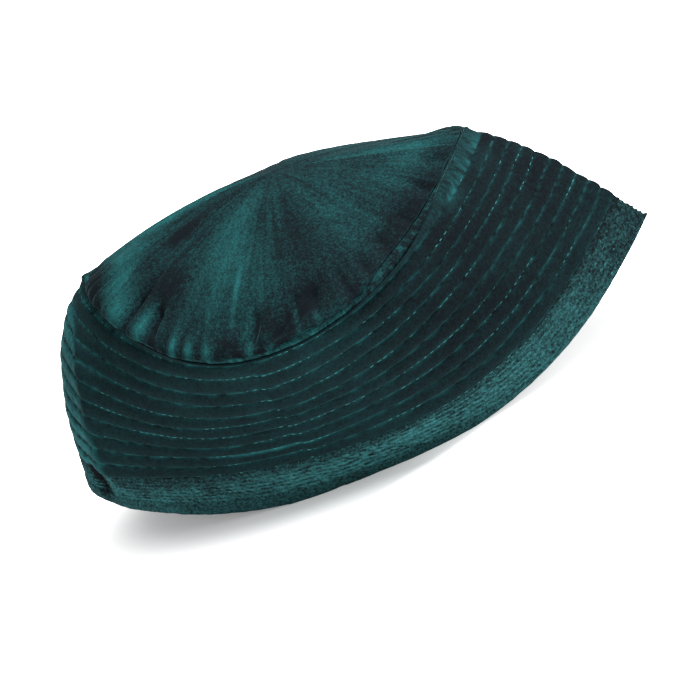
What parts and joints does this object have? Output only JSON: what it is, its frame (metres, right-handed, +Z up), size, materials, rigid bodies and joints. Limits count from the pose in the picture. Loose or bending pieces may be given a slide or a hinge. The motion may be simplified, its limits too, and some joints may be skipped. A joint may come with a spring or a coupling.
{
  "type": "quilted velvet kufi cap",
  "caption": "Soft velvet cap with a gathered crown, a rolled seam, a quilted ribbed band and a turned hem, half opened from flat and standing on its rim.",
  "frame": {"origin": "middle of the outer box at floor height, below the crown", "axes": "+X along the fold line of the crown towards the sharper fold, -Y the side shown in the picture, +Z up from the floor to the crown"},
  "size_m": [0.248, 0.1536, 0.1127],
  "materials": {
    "crown_velvet": "dark teal velvet, short brushed pile",
    "seam_velvet": "dark teal velvet rolled over the seam",
    "band_velvet": "dark teal velvet quilted in rows with matching thread",
    "hem_velvet": "dark teal velvet turned under and stitched in close rows"
  },
  "bodies": {
    "root": {"crown": "crown_velvet", "crown_seam": "seam_velvet", "band": "band_velvet", "hem": "hem_velvet"}
  },
  "joints": []
}
